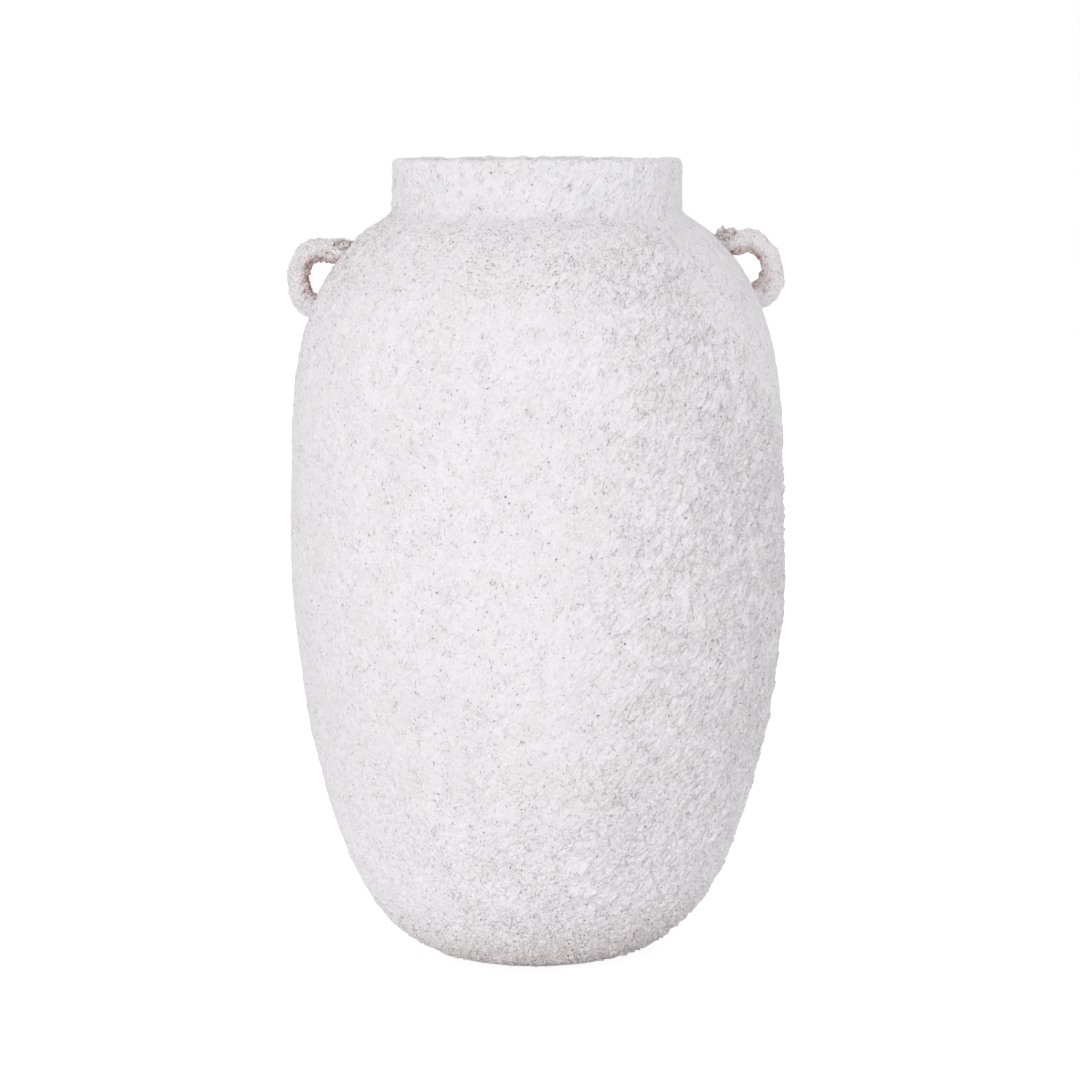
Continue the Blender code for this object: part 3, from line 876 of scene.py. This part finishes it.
def make_material(name, tints, pits=0.06, creases=0.36, sharpness=1.0):
    """Slip over clay: pale flat flakes among gritty and pitted patches, cracked, and worn to clay in places.

    pits is the share of spots that are pits, creases how dark the painted shade and dirt in the creases are,
    and sharpness scales the finest relief.
    """
    shading = Shading(name)
    plus, minus, times = shading.plus, shading.minus, shading.times
    ease, mix, noise = shading.ramp, shading.mix, shading.noise
    crease, crumbly, bare, lower, upper, rough, specks = (shading.mark(mark) for mark in Sheet.MARKS)
    upright = shading.vector("MULTIPLY", shading.place, (1, 1, 0.42))
    blotch = noise(18 * MM, 3.0, 0.3)
    patch = noise(6 * MM, 2.0, 0.4)
    dust = noise(1.9 * MM, 3.0, 0.3, shading.drawn)
    grain = noise(0.8 * MM, 2.0, 0.0, shading.drawn)
    dashes = noise(0.8 * MM, 1.0, 0.0, upright)

    # Tint of the slip, painted light low down, and smears on the neck
    rough_share = plus(ease(blotch, 0.38, 0.62, 0.0, 0.4), times(crumbly, 0.6), True)
    slip = mix(rough_share, *tints)
    # Painted light: paler towards the foot, fading out by 130 mm, and paler on the rough side
    painted_light = plus(ease(shading.height, 15 * MM, 130 * MM, 0.85, 0.0), times(rough, 0.3), True)
    slip = mix(painted_light, slip, PAINTED_LIGHT_TINT)
    on_neck = ease(shading.height, NECK_SEAM - 6 * MM, NECK_SEAM + 4 * MM, 0.1, 0.6)
    smears = ease(noise(5 * MM, 2.0, 0.6, upright), 0.50, 0.66)
    slip = mix(times(smears, on_neck), slip, SMEAR_COLOUR)

    # Painted shade, partly dirt, in cracks, creases and the grain's dips, and specks; less of both on the
    # rough side
    crack = times(shading.lines(4.5 * MM, 0.018, 0.8), ease(patch, 0.48, 0.60))
    crack = times(crack, ease(dust, 0.42, 0.56))
    slip = mix(times(crack, 0.40), slip, CREASE_SHADE_AND_DIRT_COLOUR)
    # Creases darkened: painted shade and dirt
    line = times(ease(crease, 0.55, 0.85), ease(dust, 0.42, 0.54))
    slip = mix(times(line, ease(rough, 0.2, 1.0, creases, 0.4 * creases)), slip, CREASE_SHADE_AND_DIRT_COLOUR)
    # Painted shade in the dips of the finest grain, where its bump is lowest
    slip = mix(ease(grain, 0.32, 0.46, 0.17, 0.0), slip, CREASE_SHADE_AND_DIRT_COLOUR)
    on_creases = times(ease(crease, 0.35, 0.85, 0.0, 0.055), ease(rough, 0.2, 1.0, 1.0, 0.4))
    odds = plus(plus(on_creases, ease(patch, 0.47, 0.60, 0.0, 0.06)), times(specks, 0.095))
    speck = ease(plus(dashes, odds), 0.745, 0.795)
    slip = mix(times(speck, 0.70), slip, SPECK_COLOUR)

    # Pits, most at the foot, where the clay shows through
    gritty = plus(times(crumbly, 0.5), times(crease, 0.7), True)
    distance, chance = shading.cells(1.8 * MM, shading.wobbled_place(0.7 * MM, 0.7 * MM))
    low_down = ease(minus(shading.height, times(rough, 18 * MM)), 0, 26 * MM, 1.0, 0.0)
    share = plus(times(gritty, pits), times(low_down, 0.6))
    chosen = ease(plus(chance["Red"], share), 1 - 0.5 * pits, 1 - 0.5 * pits + 0.02)
    width = ease(chance["Green"], 0.0, 1.0, 0.08, 0.27)
    hole = times(ease(minus(distance, width), -0.08, 0.06, 1.0, 0.0), chosen)
    pit_colour = mix(ease(chance["Blue"], 0.76, 0.80), PIT_COLOUR, RUST_COLOUR)
    darkness = times(hole, ease(chance["Blue"], 0.0, 0.6, 0.25, 0.85))
    slip = mix(times(low_down, ease(dust, 0.4, 0.6, 0.10, 0.65)), slip, FOOT_COLOUR)
    slip = mix(darkness, slip, pit_colour)

    # Pink where the slip is thin, and bare clay
    streaks = shading.lines(1.8 * MM, 0.06, 1.2)
    thin = times(ease(bare, 0.08, 0.45), ease(streaks, 0.0, 1.0, 0.10, 0.9))
    slip = mix(thin, slip, PINK_COLOUR)
    clay = mix(ease(dust, 0.32, 0.68), CLAY_SHADE, CLAY_COLOUR)
    clay = mix(ease(grain, 0.52, 0.66, 0.0, 0.7), clay, CLAY_GRIT)
    clay = mix(times(hole, 0.8), clay, CLAY_PIT)
    ragged = plus(minus(dust, 0.5), minus(grain, 0.5))
    edge = plus(bare, times(ragged, 1.5))
    shown = times(ease(edge, 0.62, 0.80), ease(bare, 0.0, 0.15))
    shading.look("Base Color", mix(shown, slip, clay))

    # Gloss and the finest relief
    shading.look("Roughness", ease(grain, 0.3, 0.7, 0.82, 0.97))
    shading.look("Specular IOR Level", 0.25)
    crumb, _ = shading.cells(1.15 * MM, shading.wobbled_place(1.5 * MM, 0.5 * MM))
    steps = plus(ease(lower, -0.05, 0.05), ease(upper, -0.05, 0.05))
    relief = times(steps, ease(rough, 0.0, 1.0, 0.10, 0.34))
    grit = times(ease(rough, 0.0, 1.0, 0.85, 1.35), sharpness)
    for layer, height in ((dust, ease(crumbly, 0.0, 1.0, 0.55, 0.80)),
                          (grain, ease(gritty, 0.0, 0.8, 0.45, 0.80)),
                          (crumb, ease(gritty, 0.1, 0.9, -0.05, -0.38)),
                          (hole, -0.5), (crack, -0.25)):
        relief = plus(relief, times(layer, times(height, grit)))
    bump = shading.add("ShaderNodeBump", {"Height": relief, "Distance": 1 * MM, "Strength": 1.0})
    shading.look("Normal", bump.outputs["Normal"])
    return shading.material


MATERIALS = {
    "rough_white_slip": make_material("rough_white_slip", SLIP_TINTS),
    "base_clay": make_material("foot_slip", SLIP_TINTS),
    "handle_slip": make_material("handle_slip", SHADED_HANDLE_TINTS),
    "crumbly_clay": make_material("crumbly_clay", WAD_TINTS, pits=0.16, creases=0.85, sharpness=1.2),
}


# The pieces

def place(thing, slot, *nodes):
    thing.data.materials.append(MATERIALS[slot])
    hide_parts(*nodes)
    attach(thing, "root")


def tucked(sheet, normals, row):
    """One row of a sheet, sunk a little, which closes the seam from behind."""
    lip = sheet.rows_between(row, row)
    lip.points = lip.points - normals[row:row + 1] * TUCK
    return lip


def build_walls(line):
    """Skins of the base and the walls with their insides, parted where the solids part and into bands."""
    spans = [("base_slab", 0, line.base), ("lower_wall", line.base, line.belly),
             ("upper_wall", line.belly, line.neck)]
    stations, bands = [np.array([0.0])], []
    for node, low, high in spans:
        count = math.ceil((high - low) / BAND_LENGTH)
        rows = math.ceil((high - low) / count / ROW_STEP)
        first = sum(map(len, stations)) - 1
        stations.append(np.linspace(low, high, count * rows + 1)[1:])
        bands += [(node, band + 1, first + band * rows, first + (band + 1) * rows) for band in range(count)]
    stations = np.concatenate(stations + [[line.neck + ROW_STEP]])
    wall = dress(line, stations, COLUMNS)
    normals = wall.normals()
    heights = line.at(stations)[:, 1]
    for node, number, first, last in bands:
        outside = Sheet.joined(wall.rows_between(first, last), tucked(wall, normals, last + 1))
        at_base = node == "base_slab"
        sheets = base_sheets(outside) if at_base else [outside, wall_inside(heights[first], heights[last])]
        own = [normals[first:last + 2] if sheet is outside else sheet.normals() for sheet in sheets]
        skin = loft("%s_skin_%d" % (node, number), sheets, not at_base, own)
        place(skin, "base_clay" if at_base else "rough_white_slip", node)


def build_neck(line):
    up_and_over = np.linspace(line.neck, line.turn_in, math.ceil((line.turn_in - line.neck) / ROW_STEP))
    down = np.linspace(line.turn_in, line.length, math.ceil((line.length - line.turn_in) / INSIDE_STEP))
    neck = dress(line, np.concatenate([up_and_over, down[1:]]), NECK_COLUMNS)
    place(loft("neck_collar_skin", [neck], True, [neck.normals()]), "rough_white_slip", "neck_collar")


def build_handles():
    for label, handle in HANDLES.items():
        place(make_handle(label, handle), "handle_slip", label + "_handle")
        for end, way in (("upper", 1), ("lower", -1)):
            wad = "%s_%s" % (label, end)
            skin = make_wad(wad + "_clay_wad_skin", handle, way, WADS[wad])
            place(skin, "crumbly_clay", wad + "_clay_wad")


jar = Line()
build_walls(jar)
build_neck(jar)
build_handles()


# Floor, light and camera

CAMERA_DISTANCE = 1.4
CAMERA_HEIGHT = 0.415
CAMERA_SIDE = 1.5 * MM
CAMERA_PITCH = math.radians(8.43)
CAMERA_LENS = 92.87
CAMERA_SENSOR = 36

# Light of the surroundings at the horizon and overhead, and its colour
LEVEL_AMBIENT = 0.34
OVERHEAD_AMBIENT = 1.12
AMBIENT_COLOUR = (0.985, 0.985, 1.0, 1)

# Floor: its colours for the light that it returns, and its colour and glow where it is seen
FLOOR_RADIUS = 4
FLOOR_GREYS = ((0.88, 0.88, 0.88), (0.92, 0.92, 0.92))
FLOOR_SEEN = (0.34, 0.34, 0.34, 1)
FLOOR_GLOW = 0.86
WHITE = (1, 1, 1, 1)

# Square lamps: azimuth and elevation in degrees, size in metres and power in watts. Azimuth 0 is the
# camera's side, and 90 is the vase's right.
LAMP_DISTANCE = 2.2
LAMPS = {
    "key": (-25, 9, 0.8, 12.9),
    "front_fill": (0, 3, 1.2, 2.8),
    "left_fill": (-85, 4, 1.6, 1.5),
    "right_fill": (75, 5, 1.6, 8.5),
    "back_fill": (180, 8, 1.2, 12),
}


def build_stage():
    """White floor that fades into the white background and keeps the vase's soft shadow."""
    bpy.ops.mesh.primitive_circle_add(vertices=128, radius=FLOOR_RADIUS, fill_type="NGON")
    floor = bpy.context.object
    floor.name = "floor"
    shading = Shading("white_floor")
    shading.look("Base Color", shading.mix(shading.noise(30 * MM), *FLOOR_GREYS))
    shading.look("Roughness", 0.9)
    soft = shading.add("ShaderNodeBsdfDiffuse", {"Color": FLOOR_SEEN}).outputs[0]
    glow = shading.add("ShaderNodeEmission", {"Color": WHITE, "Strength": FLOOR_GLOW}).outputs[0]
    seen = shading.add("ShaderNodeAddShader", {0: soft, 1: glow}).outputs[0]
    shading.show("Material Output", shading.shader.outputs[0], seen)
    floor.data.materials.append(shading.material)


def build_world():
    """Light from overhead, fading to the horizon, behind a background that is seen as plain white."""
    world = bpy.data.worlds.new("studio")
    bpy.context.scene.world = world
    studio = Nodes(world)
    direction = studio.add("ShaderNodeTexCoord").outputs["Generated"]
    upwards = studio.add("ShaderNodeSeparateXYZ", {0: direction}).outputs["Z"]
    levels = {"Value": upwards, "To Min": LEVEL_AMBIENT, "To Max": OVERHEAD_AMBIENT}
    strength = studio.add("ShaderNodeMapRange", levels).outputs[0]
    ambient = studio.tree.nodes["Background"]
    studio.put(ambient.inputs["Color"], AMBIENT_COLOUR)
    studio.put(ambient.inputs["Strength"], strength)
    backdrop = studio.add("ShaderNodeBackground", {"Color": WHITE}).outputs[0]
    studio.show("World Output", ambient.outputs[0], backdrop)


def add_softbox(name, azimuth, elevation, size, power):
    turn, rise = math.radians(azimuth), math.radians(elevation)
    towards = Vector((math.sin(turn) * math.cos(rise), -math.cos(turn) * math.cos(rise), math.sin(rise)))
    data = bpy.data.lights.new(name, "AREA")
    data.size = size
    data.energy = power
    lamp = add_object(name, data)
    lamp.location = Vector((0, 0, HEIGHT / 2)) + towards * LAMP_DISTANCE
    lamp.rotation_euler = towards.to_track_quat("Z", "Y").to_euler()
    lamp.visible_camera = False


def build_camera():
    camera = add_object("camera", bpy.data.cameras.new("camera"))
    camera.data.lens = CAMERA_LENS
    camera.data.sensor_width = CAMERA_SENSOR
    camera.location = (CAMERA_SIDE, -CAMERA_DISTANCE, CAMERA_HEIGHT)
    camera.rotation_euler = (math.pi / 2 - CAMERA_PITCH, 0, 0)
    bpy.context.scene.camera = camera


build_stage()
build_world()
for name, setting in LAMPS.items():
    add_softbox(name, *setting)
build_camera()
bpy.context.scene.view_settings.view_transform = "Standard"
